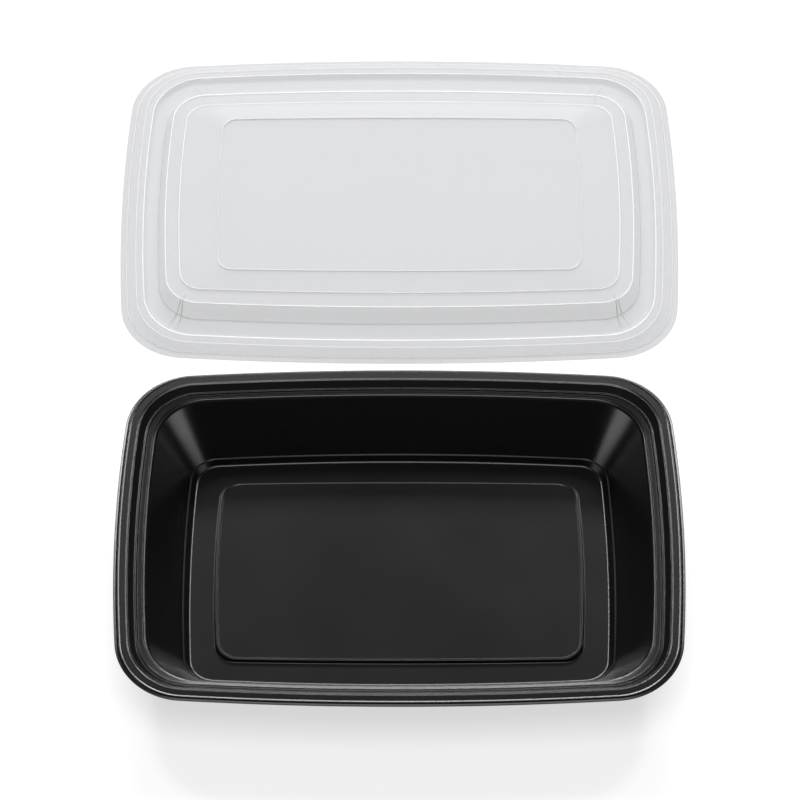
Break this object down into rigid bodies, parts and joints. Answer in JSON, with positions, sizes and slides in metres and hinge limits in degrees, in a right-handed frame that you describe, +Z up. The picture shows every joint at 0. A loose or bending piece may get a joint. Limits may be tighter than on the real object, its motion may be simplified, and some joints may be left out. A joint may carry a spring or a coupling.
{
  "type": "takeaway meal container",
  "caption": "Shallow rectangular black food tray with a beaded rim and stepped ledge, and its separate translucent lid with a raised plateau lying flat behind it.",
  "frame": {"origin": "centre of the bounding box of tray and lid together, on the plane that both rest on", "axes": "+X along the container's length, +Y from the tray back to the lid, +Z up"},
  "size_m": [0.228, 0.335, 0.028],
  "materials": {
    "black_plastic": "satin",
    "clear_plastic": "satin translucent"
  },
  "bodies": {
    "root": {"tray": "black_plastic", "lid": "clear_plastic"}
  },
  "joints": []
}
